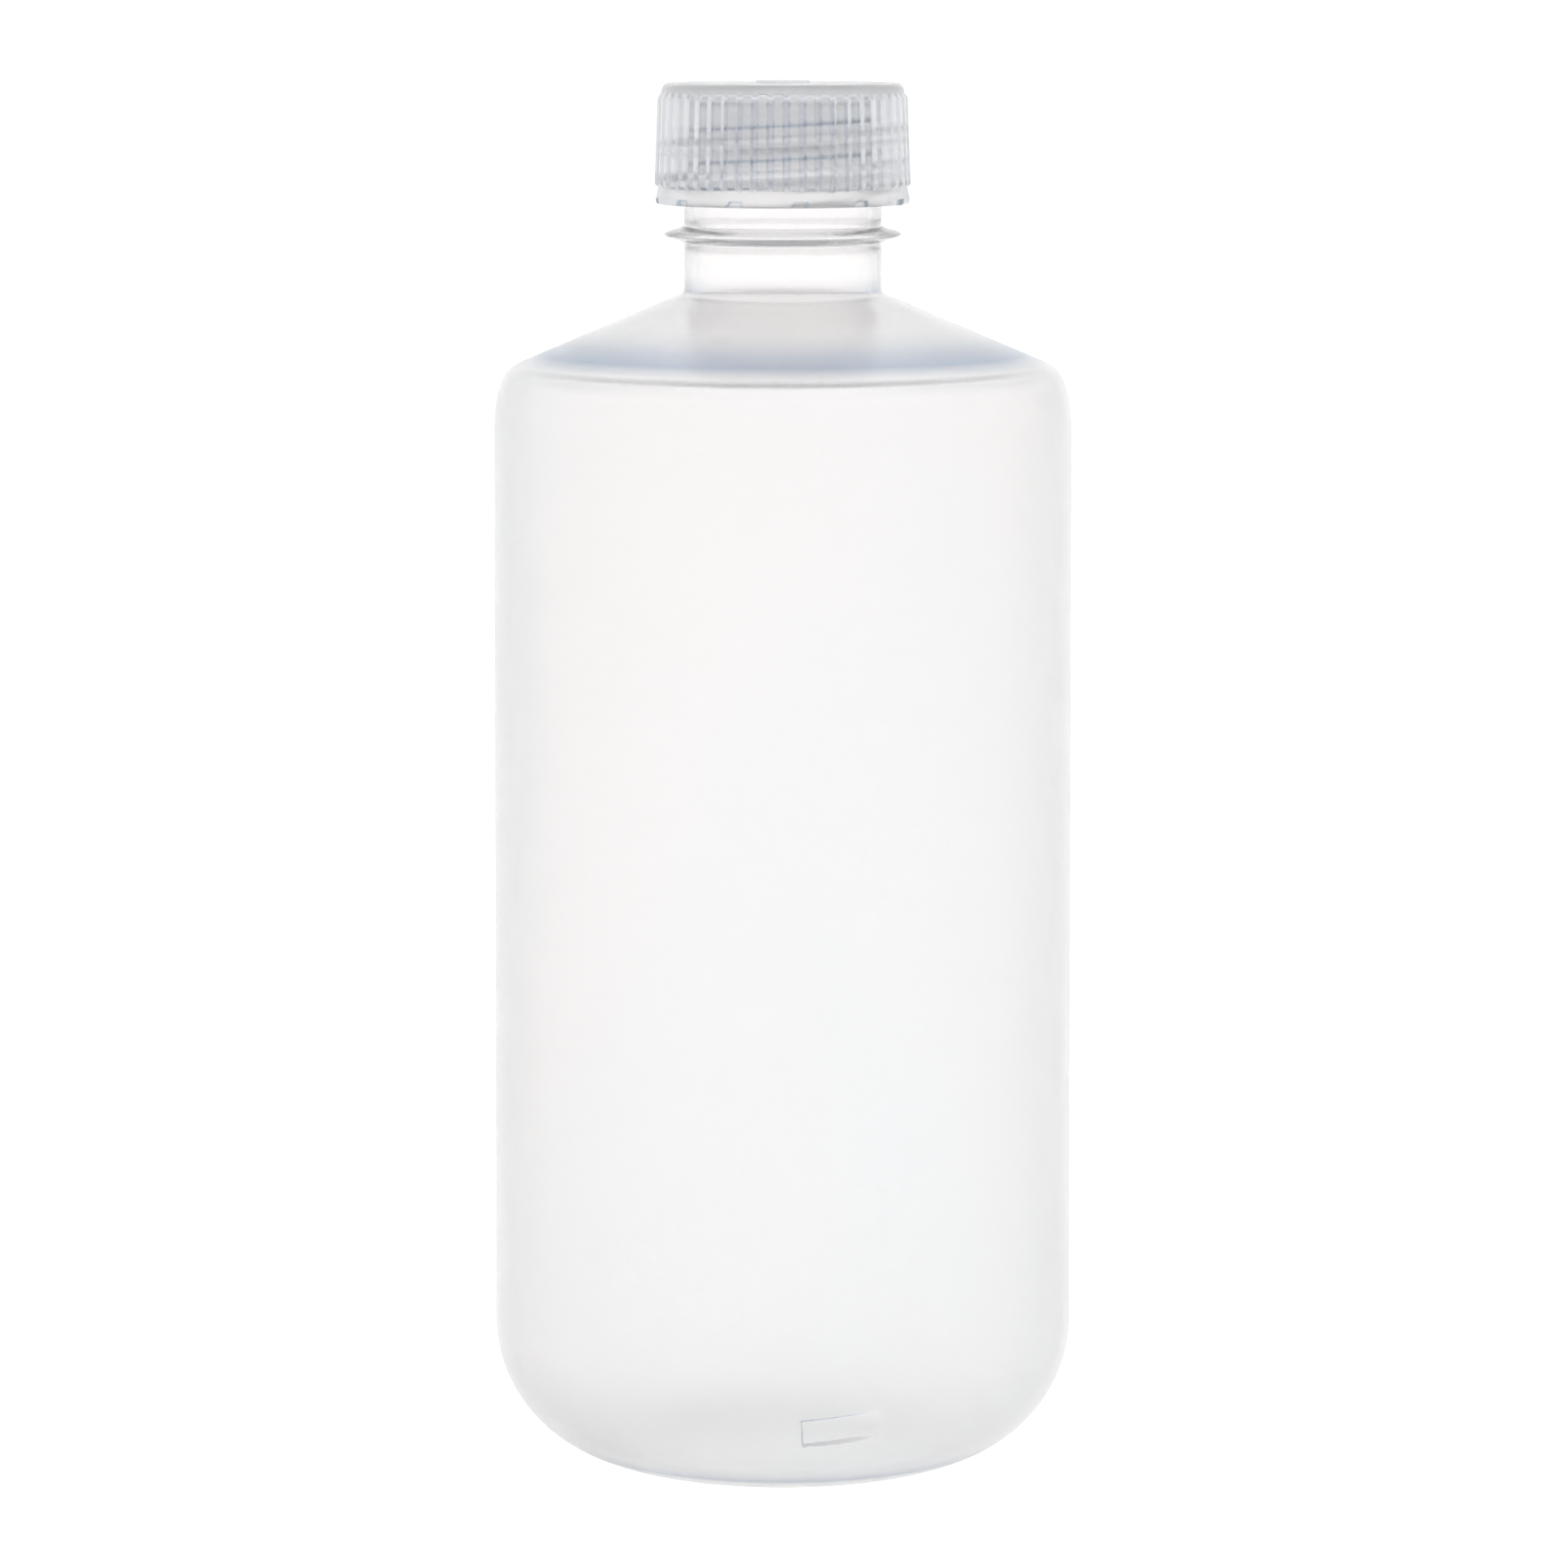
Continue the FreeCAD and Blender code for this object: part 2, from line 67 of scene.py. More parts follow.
# Bottle
WALL = 1.4
BASE_RADIUS = bottle_high.x
TOP_RADIUS = BASE_RADIUS - 0.4
HEEL = 17.9
FOOT_WIDTH = 3.4
FOOT_ROUND = 1.2
FOOT_ROWS = ((-1.0, 0.35), (-0.5, 0.12), (0.0, 0.02), (0.5, 0.0))   # (share of FOOT_ROUND, height)
PUSH_UP = 2.2
SHOULDER_LEVEL = 134.7
SHOULDER_LOW = 15.05
SHOULDER_HIGH = 4.0
CONE_SLOPE = math.radians(23.1)
NECK_RADIUS = 12.65
NECK_LEVEL = 151.4
NECK_FILLET = 0.9
MOUTH = bottle_high.z
RIM_ROUND = 0.3
RING_LEVEL = 158.85
RING_RADIUS = 15.15
RING_ROOT = 1.45
RING_EDGE = 0.42
RING_OVER = 161.5     # height at which the neck is straight again over the ring
BASE_TOP = 2.0        # height up to which the wall counts as the base
BOTTLE_COLUMNS = 240
COLUMN_CLEAR = 0.35   # degrees kept free beside an added column
# Threads: 28 mm finish, right-handed
PITCH = 4.233
THREAD_RADIUS = 13.65
THREAD_ROOT = 1.9
THREAD_CREST = 1.1
THREAD_LEVEL = 163.6
THREAD_START = -95.0
THREAD_TURNS = 2.2
THREAD_FADE = 0.035   # turns over which a thread's end dies away
THREAD_FOOT = 162.0   # height below which the neck is plain
FLANK_ROWS = 7
FLANK_OVERRUN = 0.12  # how far the rows of a flank run past its ends
FLANK_CLEAR = 0.35    # how far beyond the flank the last row stands
# Locating recess in the heel
RECESS_BEARING = -77.5
RECESS_DROP = math.radians(23.8)
RECESS_LENGTH = 11.0
RECESS_WIDTH = 4.2
RECESS_DEPTH = 0.6
RECESS_TILT = math.tan(math.radians(2.5))
RECESS_CLIMB = math.radians(7.5)
RECESS_EDGE = 0.3
RECESS_STEP = 0.2     # spacing of the rings across the recess
# Parting line of the two mould halves
SEAM_BEARINGS = (-81.6, 98.4)
SEAM_HALF = 0.4
SEAM_HEIGHT = 0.045
SEAM_LOW = 0.35       # share of that height on the body
SEAM_FROM = 130.0     # height from which it grows, and over how much
SEAM_RUN = 10.0
# Cap, heights from the lower end of its skirt
SEAT = cap_low.z
PHASE = 7.5
CAP_TOP = 15.4
CAP_UNDER = 13.8
CAP_BORE = 14.0
CAP_CORNER = 0.5
BAND_HEIGHT = 2.1
BAND_RADIUS = 16.225
BAND_WAIST = 15.95
BAND_ROUND = 0.45
CROWN = 15.5
TOP_ROUND = 1.05
BOSS_RADIUS = 3.45
BOSS_RISE = 0.3
RIBS = 50
RIB_RISE = 0.45
RIB_TOP = 14.35
RIB_RUN_OUT = 0.95    # height over which a rib dies away under its top
RIB_PHASE = -1.9
NOTCHES = 12
NOTCH_DEPTH = 0.5
NOTCH_HEIGHT = 0.8
NOTCH_HALF = 4.06     # degrees
NOTCH_SLOPE = 2.1     # degrees the left side leans in up to the ceiling, and the right side
NOTCH_STEEP = 0.35
NOTCH_SKIN = 0.25     # degrees between the two columns of a notch's side
CAP_COLUMNS = 200
TOP_COLUMNS = 120
# The cap's thread is softer and lower than a sharp one, as it looks through the cap
CAP_THREAD_RADIUS = 13.3
CAP_THREAD_ROOT = 2.6
CAP_THREAD_CREST = 0.3
CAP_THREAD_LEVEL = 2.2
CAP_THREAD_DROP = 1.5
CAP_THREAD_TURNS = 2.0
# Liner
LINER_GAP = 0.03
LINER_ROUND = 0.15
LINER_COLUMNS = 128
# Painted shade on the bottle: (strength, start, run in, end, run out) up its height
PAINTED_SHADE_BASE = (0.2, -1.0, 1.0, 1.0, 3.0)
PAINTED_SHADE_CONE = (0.005, 140.0, 2.0, 150.0, 1.5)
PAINTED_SHADE_BAND = (0.15, 142.3, 0.7, 143.4, 4.4)
PAINTED_SHADE_NECK = (0.006, 150.0, 1.5)
PAINTED_SHADE_FINISH = (0.05, 163.0, 1.5)
# Strengths of painted shade at the neck's fillet, the recess's edges, over the thread, in the rib
# valleys, at the notches and along the skirt's end
PAINTED_SHADE_FILLET = 0.12
PAINTED_SHADE_RECESS_END = 0.07
PAINTED_SHADE_RECESS_OVER = 0.5
PAINTED_SHADE_RECESS_UNDER = 0.03
PAINTED_SHADE_THREAD_OVER = 0.2
PAINTED_SHADE_VALLEY = 0.45
PAINTED_SHADE_NOTCH = 0.9
PAINTED_SHADE_SKIRT = 0.5
# Materials
IOR = 1.49
SPECULAR = 0.9
TINT_SCALE = 22       # noise scales of the tint, the gloss and the grain
GLOSS_SCALE = 60
GLOSS_SPREAD = (0.94, 1.06)
GRAIN_SCALE = 240
GRAIN_DISTANCE = 0.0004
SLANT = (0.15, 0.75)  # Layer Weight's Facing where a wall starts to be seen edge on, and fully is
# Studio
HORIZON = (1.25, 1.24, 1.23, 1)
ZENITH = (1.20, 1.21, 1.23, 1)
ZENITH_FROM = 0.75
FLOOR_HALF = 60.0
FLOOR_DROP = 0.0002
FLOOR_GREY = (0.25, 0.25, 0.25, 1)
FLOOR_GLOW = 0.95
# Camera
LENS = 142.45
SENSOR = 36.0
CLIP = (0.01, 200)
CAMERA_AT = (0.00016, -0.7964, 0.1927)
CAMERA_DOWN = 7.5     # degrees below level


def smooth(x):
    """0 below 0, 1 above 1, and an S curve between."""
    x = min(max(x, 0.0), 1.0)
    return x * x * (3 - 2 * x)


def spread(start, end, count):
    """Even values from start to end, with both."""
    return [start + (end - start) * n / (count - 1) for n in range(count)]


def arc(centre, radius, start, end, count):
    """(radius, height) points on a circle, angles in radians."""
    x, z = centre
    return [(x + radius * math.cos(a), z + radius * math.sin(a)) for a in spread(start, end, count)]


def around(start, count):
    """Even bearings for one turn."""
    return [start + 360.0 * n / count for n in range(count)]


class Skin:
    """A surface of revolution with exceptions, built from rings."""

    def __init__(self):
        self.points, self.bearings, self.faces = [], [], []

    def ring(self, spots):
        first = len(self.points)
        for bearing, radius, height in spots:
            a = math.radians(bearing)
            self.points.append((radius * math.cos(a), radius * math.sin(a), height))
            self.bearings.append(bearing)
        return list(range(first, len(self.points)))

    def bridge(self, a, b):
        """Joins two closed rings of the same count."""
        for n in range(len(a)):
            m = (n + 1) % len(a)
            self.faces.append((a[n], a[m], b[m], b[n]))

    def stitch(self, a, b):
        """Joins two closed rings of different counts that start at about the same bearing."""
        def place(ring, n):
            return self.bearings[ring[n % len(ring)]] + 360.0 * (n // len(ring))
        i = j = 0
        while i < len(a) or j < len(b):
            if j >= len(b) or (i < len(a) and place(a, i + 1) <= place(b, j + 1)):
                self.faces.append((a[i % len(a)], a[(i + 1) % len(a)], b[j % len(b)]))
                i += 1
            else:
                self.faces.append((a[i % len(a)], b[(j + 1) % len(b)], b[j % len(b)]))
                j += 1

    def close(self, ring, height):
        """A fan from a ring to the axis."""
        self.points.append((0.0, 0.0, height))
        self.bearings.append(0.0)
        tip = len(self.points) - 1
        for n in range(len(ring)):
            self.faces.append((ring[n], ring[(n + 1) % len(ring)], tip))

    def lathe(self, bearings, profile, previous=None):
        """Rings for each (radius, height) of a profile, joined in turn and to a previous ring."""
        for radius, height in profile:
            ring = self.ring([(b, radius, height) for b in bearings])
            if previous is not None:
                self.bridge(previous, ring)
            previous = ring
        return previous

    def coil(self, bearings, level, offsets, low, high, radius_at):
        """Rows that follow a helix between two heights.

        offsets are the rows' heights from each turn. radius_at takes a height and the height of the
        helix's first turn there. Rows are kept within low and high, where they fall on the rings that
        stand there, and mesh() merges them."""
        first = math.floor((low - level) / PITCH) - 2
        last = math.ceil((high - level) / PITCH)
        ends = list(bearings) + [bearings[0] + 360.0]
        rows = []
        for turn in range(first, last + 1):
            for offset in sorted(offsets):
                row = []
                for bearing in ends:
                    first_turn = level + PITCH * ((bearing - bearings[0]) / 360.0)
                    height = min(max(first_turn + PITCH * turn + offset, low), high)
                    row.append((bearing, radius_at(height, first_turn), height))
                rows.append(self.ring(row))
        for a, b in zip(rows, rows[1:]):
            for n in range(len(bearings)):
                self.faces.append((a[n], a[n + 1], b[n + 1], b[n]))

    def mesh(self, name, shade):
        """The piece, with a point attribute for how much shade is painted into its colour at each spot.
        """
        data = bpy.data.meshes.new(name)
        data.from_pydata([tuple(c * MM for c in p) for p in self.points], [], self.faces)
        work = bmesh.new()
        work.from_mesh(data)
        bmesh.ops.remove_doubles(work, verts=work.verts, dist=MERGE)
        bmesh.ops.dissolve_degenerate(work, edges=work.edges, dist=MERGE)
        bmesh.ops.recalc_face_normals(work, faces=work.faces)
        work.to_mesh(data)
        work.free()
        data.shade_smooth()
        data.set_sharp_from_angle(angle=math.radians(SHARP))
        painted_shade = data.attributes.new(PAINTED_SHADE, "FLOAT", "POINT")
        for n, vertex in enumerate(data.vertices):
            x, y, z = vertex.co / MM
            painted_shade.data[n].value = shade(math.degrees(math.atan2(y, x)), math.hypot(x, y), z)
        piece = bpy.data.objects.new(name, data)
        bpy.context.scene.collection.objects.link(piece)
        return piece


def thread_share(height, first_turn, level, turns, root, crest):
    """How far a thread stands out at a height, from 0 to 1. first_turn is where its first turn is."""
    best = 0.0
    for k in range(int(turns) + 1):
        turn = k + (first_turn - level) / PITCH
        ends = smooth(turn / THREAD_FADE) * smooth((turns - turn) / THREAD_FADE)
        offset = abs(height - first_turn - PITCH * k)
        best = max(best, ends * smooth((root - 2 * offset) / (root - crest)))
    return best


def coil_offsets(root, crest):
    """Heights of the rows of a thread from the middle of its crest."""
    flank = spread(crest / 2 - FLANK_OVERRUN, root / 2 + FLANK_OVERRUN, FLANK_ROWS)
    flank.append(root / 2 + FLANK_CLEAR)
    return [-PITCH / 2] + [-f for f in reversed(flank)] + [0.0] + flank


# ---------------------------------------------------------------- bottle

def shell_profile(inset):
    """(radius, height) from the base's middle to the foot of the neck, moved into the wall by inset."""
    sine, cosine = math.sin(CONE_SLOPE), math.cos(CONE_SLOPE)
    heel = (BASE_RADIUS - HEEL, HEEL)
    low = (TOP_RADIUS - SHOULDER_LOW, SHOULDER_LEVEL)
    reach = sine * NECK_RADIUS + cosine * NECK_LEVEL - SHOULDER_HIGH - sine * low[0] - cosine * low[1]
    gap = SHOULDER_LOW - SHOULDER_HIGH
    bend = math.asin(reach / gap) - CONE_SLOPE
    high = (low[0] + gap * math.cos(bend), low[1] + gap * math.sin(bend))
    curl = NECK_FILLET + inset
    lift = (1 - sine) / cosine
    curl_at = (NECK_RADIUS - inset + curl, NECK_LEVEL - inset * lift + curl * lift)
    normal = math.pi / 2 - CONE_SLOPE

    foot_in = heel[0] - FOOT_WIDTH
    dome = (foot_in ** 2 + PUSH_UP ** 2) / (2 * PUSH_UP)
    dome_end = math.acos(foot_in / dome)
    floor = arc((0, inset + PUSH_UP - dome), dome, math.pi / 2, dome_end, 12)[1:-1]
    floor = [p for p in floor if p[0] < foot_in - FOOT_ROUND * 1.5]
    turn = [(foot_in + FOOT_ROUND * s, inset + rise) for s, rise in FOOT_ROWS]
    heel_arc = arc(heel, HEEL - inset, -math.pi / 2, 0, 25)
    side = [(BASE_RADIUS - inset + (TOP_RADIUS - BASE_RADIUS) * s, HEEL + (SHOULDER_LEVEL - HEEL) * s)
            for s in spread(0, 1, 13)[1:-1]]
    low_arc = arc(low, SHOULDER_LOW - inset, 0, bend, 9)
    high_arc = arc(high, SHOULDER_HIGH - inset, bend, normal, 9)[1:]
    fillet = arc(curl_at, curl, math.pi + normal, math.pi, 8)
    start, end = high_arc[-1], fillet[0]
    cone = [(start[0] + (end[0] - start[0]) * s, start[1] + (end[1] - start[1]) * s)
            for s in spread(0, 1, 8)[1:-1]]
    return floor + turn + heel_arc + side + low_arc + high_arc + cone + fillet


MIDDLE = [p for p in shell_profile(WALL / 2) if p[0] > BASE_RADIUS - HEEL]   # middle of the wall


def is_outside(radius, height):
    """True on the outer face of the wall, from the heel to just under the thread."""
    if height < BASE_TOP or height > THREAD_FOOT:
        return False
    if height < NECK_LEVEL:
        middle = [(p, q) for p, q in zip(MIDDLE, MIDDLE[1:]) if p[1] <= height <= q[1]]
        if not middle:
            return False
        (r0, z0), (r1, z1) = middle[0]
        return radius > r0 + (r1 - r0) * (height - z0) / max(z1 - z0, 1e-6)
    return radius > NECK_RADIUS - WALL / 2


def bottle_bearings():
    """Even bearings from the thread's start, closer at the parting lines and the recess's ends."""
    marks = around(THREAD_START, BOTTLE_COLUMNS)
    half = math.degrees(RECESS_LENGTH / 2 / (BASE_RADIUS - 1.5))
    edge = math.degrees(RECESS_EDGE / 2 / BASE_RADIUS)
    extra = []
    for side in (-1, 1):
        extra += [RECESS_BEARING + side * (half - edge * k) for k in range(-3, 7)]
    for seam in SEAM_BEARINGS:
        extra += [seam + d * SEAM_HALF for d in (-1, -0.5, 0, 0.5, 1)]
    kept = [m for m in marks if m == THREAD_START or min(abs(m - e) for e in extra) > COLUMN_CLEAR]
    return sorted(kept + extra)


def seam_height(bearing, height):
    """How far the parting line stands out: fine on the body and full on the neck."""
    nearest = min(abs((bearing - s + 180) % 360 - 180) for s in SEAM_BEARINGS)
    share = SEAM_LOW + (1 - SEAM_LOW) * smooth((height - SEAM_FROM) / SEAM_RUN)
    return SEAM_HEIGHT * smooth(1 - nearest / SEAM_HALF) * share


def recess_place(point):
    """The recess's outward direction, and a point's place from the heel's centre: outwards, along and
    up the recess."""
    b = math.radians(RECESS_BEARING)
    out = Vector((math.cos(b), math.sin(b), 0))
    facing = out * math.cos(RECESS_DROP) - Vector((0, 0, 1)) * math.sin(RECESS_DROP)
    level = Vector((-math.sin(b), math.cos(b), 0))
    upward = facing.cross(level)
    along = level * math.cos(RECESS_CLIMB) + upward * math.sin(RECESS_CLIMB)
    at = Vector(point) - (out * (BASE_RADIUS - HEEL) + Vector((0, 0, HEEL)))
    return facing, at.dot(facing), at.dot(along), at.dot(facing.cross(along))


def dent(point):
    """Presses the locating recess into a point of the heel: a flat floor that runs out to the right."""
    facing, deep, u, v = recess_place(point)
    inside = smooth(min(RECESS_LENGTH / 2 - abs(u), RECESS_WIDTH / 2 - abs(v)) / RECESS_EDGE)
    if inside <= 0 or deep < 0:
        return point
    excess = deep - (HEEL - RECESS_DEPTH + RECESS_TILT * u)
    return tuple(Vector(point) - facing * max(excess, 0) * inside)


def recess_shade(point):
    """Painted shade: dark along the recess's left end, and less and less along its long sides."""
    _, deep, u, v = recess_place(point)
    if deep < HEEL - (RECESS_DEPTH + WALL) / 2:
        return 0.0
    end, side = RECESS_LENGTH / 2 - abs(u), RECESS_WIDTH / 2 - abs(v)
    line = smooth(1.3 - abs(min(end, side) - RECESS_EDGE / 2) / RECESS_EDGE)
    share = (u + RECESS_LENGTH / 2) / RECESS_LENGTH
    if end < side:
        return line * PAINTED_SHADE_RECESS_END if u < 0 else 0.0
    return line * (PAINTED_SHADE_RECESS_OVER if v > 0 else PAINTED_SHADE_RECESS_UNDER) * (1 - smooth(share))


def neck_thread(height, first_turn):
    """Radius of the neck's outside in the thread's zone."""
    share = thread_share(height, first_turn, THREAD_LEVEL, THREAD_TURNS, THREAD_ROOT, THREAD_CREST)
    return NECK_RADIUS + (THREAD_RADIUS - NECK_RADIUS) * share


def with_recess_rows(outside):
    """The outer profile with closer rows on the heel, across the recess."""
    reach = RECESS_WIDTH / 2 + RECESS_LENGTH / 2 * math.sin(RECESS_CLIMB) + RECESS_EDGE
    rows = spread(-reach, reach, int(2 * reach / RECESS_STEP))
    angles = [-RECESS_DROP + s / HEEL for s in rows]
    centre = BASE_RADIUS - HEEL
    extra = [(centre + HEEL * math.cos(a), HEEL + HEEL * math.sin(a)) for a in angles]
    start = next(n for n, p in enumerate(outside) if p[0] > centre + 0.5)
    curved = sorted([p for p in outside[start:] if p[1] < HEEL] + extra, key=lambda p: p[1])
    return outside[:start] + curved + [p for p in outside[start:] if p[1] >= HEEL]


def neck_profile(low, high):
    """(radius, height) up the neck's outside from the shoulder, over the ring to the thread's zone."""
    rise, tip = RING_RADIUS - NECK_RADIUS, RING_RADIUS - RING_EDGE / 2
    # (radius, share of RING_ROOT from the ring's middle)
    flare = [(NECK_RADIUS, 0.82), (NECK_RADIUS + 0.1, 0.72), (NECK_RADIUS + 0.35, 0.62),
             (NECK_RADIUS + 0.35 * rise, 0.48), (NECK_RADIUS + 0.6 * rise, 0.36), (tip - 0.15, 0.22)]
    under = [(r, RING_LEVEL - RING_ROOT * s) for r, s in flare]
    over = [(r, RING_LEVEL + RING_ROOT * s) for r, s in reversed(flare)]
    edge = arc((tip, RING_LEVEL), RING_EDGE / 2, -1.2, 1.2, 5)
    plain = [(NECK_RADIUS, z) for z in spread(low, under[0][1], 4)[1:-1]]
    return plain + under + edge + over + [(NECK_RADIUS, RING_OVER), (NECK_RADIUS, high)]


def press_details(skin):
    """Dents the recess into the heel and raises the parting lines."""
    thick = BASE_RADIUS - HEEL * 0.5
    for n, point in enumerate(skin.points):
        radius = math.hypot(point[0], point[1])
        if radius < 1:
            continue
        from_centre = math.hypot(radius - (BASE_RADIUS - HEEL), HEEL - point[2])
        if radius > thick and point[2] < HEEL and from_centre > HEEL - 0.1:
            point = dent(point)
        lift = seam_height(skin.bearings[n], point[2])
        if lift > 0 and is_outside(radius, point[2]):
            grow = 1 + lift / radius
            point = (point[0] * grow, point[1] * grow, point[2])
        skin.points[n] = point


def make_bottle():
    skin = Skin()
    bearings = bottle_bearings()
    outside = with_recess_rows(shell_profile(0.0))
    ring = skin.lathe(bearings, outside[:1])
    skin.close(ring, PUSH_UP)
    last = skin.lathe(bearings, outside[1:], ring)

    zone_low, zone_high = THREAD_LEVEL - THREAD_ROOT / 2 - 0.2, MOUTH - RIM_ROUND
    skin.lathe(bearings, neck_profile(outside[-1][1], zone_low), last)
    skin.coil(bearings, THREAD_LEVEL, coil_offsets(THREAD_ROOT, THREAD_CREST), zone_low, zone_high,
              neck_thread)

    bore = NECK_RADIUS - WALL
    rim = arc((NECK_RADIUS - RIM_ROUND, zone_high), RIM_ROUND, 0, math.pi / 2, 4)
    rim += arc((bore + RIM_ROUND, zone_high), RIM_ROUND, math.pi / 2, math.pi, 4)
    inside = shell_profile(WALL)[::-1]
    shaft = [(bore, z) for z in spread(zone_high, inside[0][1], 10)[1:-1]]
    last = skin.lathe(bearings, rim + shaft + inside)
    skin.close(last, WALL + PUSH_UP)
    press_details(skin)
    return skin.mesh("bottle_shell", bottle_shade)


def painted_shade_between(height, strength, start, run_in, end=math.inf, run_out=1.0):
    """A strength of painted shade that grows from one height and fades from another."""
    return strength * smooth((height - start) / run_in) * (1 - smooth((height - end) / run_out))


def bottle_shade(bearing, radius, height):
    """Painted shade: darkest on the lower part of the cone, under the thread and where the neck starts.
    """
    b = math.radians(bearing)
    mark = 0.0
    if height < HEEL:
        mark = recess_shade((radius * math.cos(b), radius * math.sin(b), height))
    if not is_outside(radius, height) and (height < THREAD_FOOT or radius < NECK_RADIUS - 0.1):
        return mark
    fillet = PAINTED_SHADE_FILLET * smooth(1 - abs(height - NECK_LEVEL - 0.4) / 0.5)
    neck = painted_shade_between(height, *PAINTED_SHADE_NECK) + painted_shade_between(height, *PAINTED_SHADE_FINISH)
    zones = [painted_shade_between(height, *zone) for zone in (PAINTED_SHADE_BASE, PAINTED_SHADE_CONE, PAINTED_SHADE_BAND)]
    return max(fillet, neck, thread_shade(bearing, height), mark, *zones)


def thread_shade(bearing, height):
    """Painted shade: dark under the crest of the neck thread, and faint over it, from its second turn
    up.
    """
    if height < THREAD_LEVEL + PITCH / 4 or height > THREAD_LEVEL + PITCH * (THREAD_TURNS + 0.25):
        return 0.0
    crest = THREAD_LEVEL + PITCH * (bearing - THREAD_START) / 360
    over = (height - crest + PITCH / 2) % PITCH - PITCH / 2
    if over < 0:    # millimetres under the crest's middle
        return smooth((-0.45 - over) / 0.2) * smooth((THREAD_ROOT / 2 + 0.32 + over) / 0.15)
    return PAINTED_SHADE_THREAD_OVER * smooth((over - 0.5) / 0.2) * smooth((THREAD_ROOT / 2 + 0.1 - over) / 0.2)


# ---------------------------------------------------------------- cap

def rib_shape(phase):
    """Height of a rib from 0 to 1 across one period, phase -0.5 to 0.5."""
    return smooth((0.405 - abs(phase)) / 0.20)


def cap_wall(height):
    """Radius between the ribs at a height over the band."""
    if height <= CAP_TOP - TOP_ROUND:
        share = (height - BAND_HEIGHT) / (CAP_TOP - TOP_ROUND - BAND_HEIGHT)
        return BAND_WAIST + (CROWN - BAND_WAIST) * share
    return CROWN - TOP_ROUND + math.sqrt(max(TOP_ROUND ** 2 - (height - CAP_TOP + TOP_ROUND) ** 2, 0))


def cap_thread(height, first_turn):
    """Radius of the skirt's bore in the cap thread's zone."""
    share = thread_share(height, first_turn, CAP_THREAD_LEVEL, CAP_THREAD_TURNS, CAP_THREAD_ROOT,
                         CAP_THREAD_CREST)
    return CAP_BORE - (CAP_BORE - CAP_THREAD_RADIUS) * share


def notch_sides(height):
    """Bearings of a notch's sloping and steep sides from the notch's middle."""
    low = min(height / NOTCH_HEIGHT, 1.0)
    fade = 1 - smooth((height - NOTCH_HEIGHT) / (BAND_HEIGHT - NOTCH_HEIGHT))
    return -NOTCH_HALF + NOTCH_SLOPE * low * fade, NOTCH_HALF - NOTCH_STEEP * low * fade


def notch_columns(height, start):
    """Bearings round the band, two at each side of every notch, and whether each is in a notch."""
    left, right = notch_sides(height)
    steps = [(-13, 0), (-11, 0), (-9, 0), (-7, 0), (left - 1.2, 0), (left, 0), (left + NOTCH_SKIN, 1),
             (left * 0.5, 1), (left * 0.1 + right * 0.3, 1), (right - NOTCH_SKIN, 1), (right, 0),
             (right + 1.2, 0), (7, 0), (9, 0), (11, 0)]
    columns = [(bearing + step, cut) for bearing in around(PHASE, NOTCHES) for step, cut in steps]
    return [c for c in columns if c[0] >= start] + [(b + 360.0, cut) for b, cut in columns if b < start]


def rib_columns(start):
    """(bearing, phase) of the columns round the ribs."""
    phases = (-0.5, -0.41, -0.36, -0.305, -0.25, -0.2, -0.07, 0.07, 0.2, 0.25, 0.305, 0.36, 0.41)
    columns = [((k + p) * 360.0 / RIBS - 90 + RIB_PHASE, p) for k in range(RIBS) for p in phases]
    return sorted(((b - start) % 360 + start, p) for b, p in columns)


def make_bore(skin, start):
    """The cap's inside, from the ceiling's middle out and down to the skirt's end."""
    inner = around(start, CAP_COLUMNS)
    centre = skin.lathe(inner, [(4.0, CAP_UNDER)])
    ceiling = skin.lathe(inner, [(9.0, CAP_UNDER)], centre)
    skin.close(centre, CAP_UNDER)
    corner = arc((CAP_BORE - CAP_CORNER, CAP_UNDER - CAP_CORNER), CAP_CORNER, math.pi / 2, 0, 4)
    zone_low, zone_high = 0.75, CAP_UNDER - CAP_CORNER - 0.1
    skin.lathe(inner, corner + [(CAP_BORE, zone_high)], ceiling)
    skin.coil(inner, CAP_THREAD_LEVEL, coil_offsets(CAP_THREAD_ROOT, CAP_THREAD_CREST), zone_low,
              zone_high, cap_thread)
    return skin.lathe(inner, [(CAP_BORE, zone_low), (CAP_BORE, 0.25), (CAP_BORE + 0.2, 0.02)])


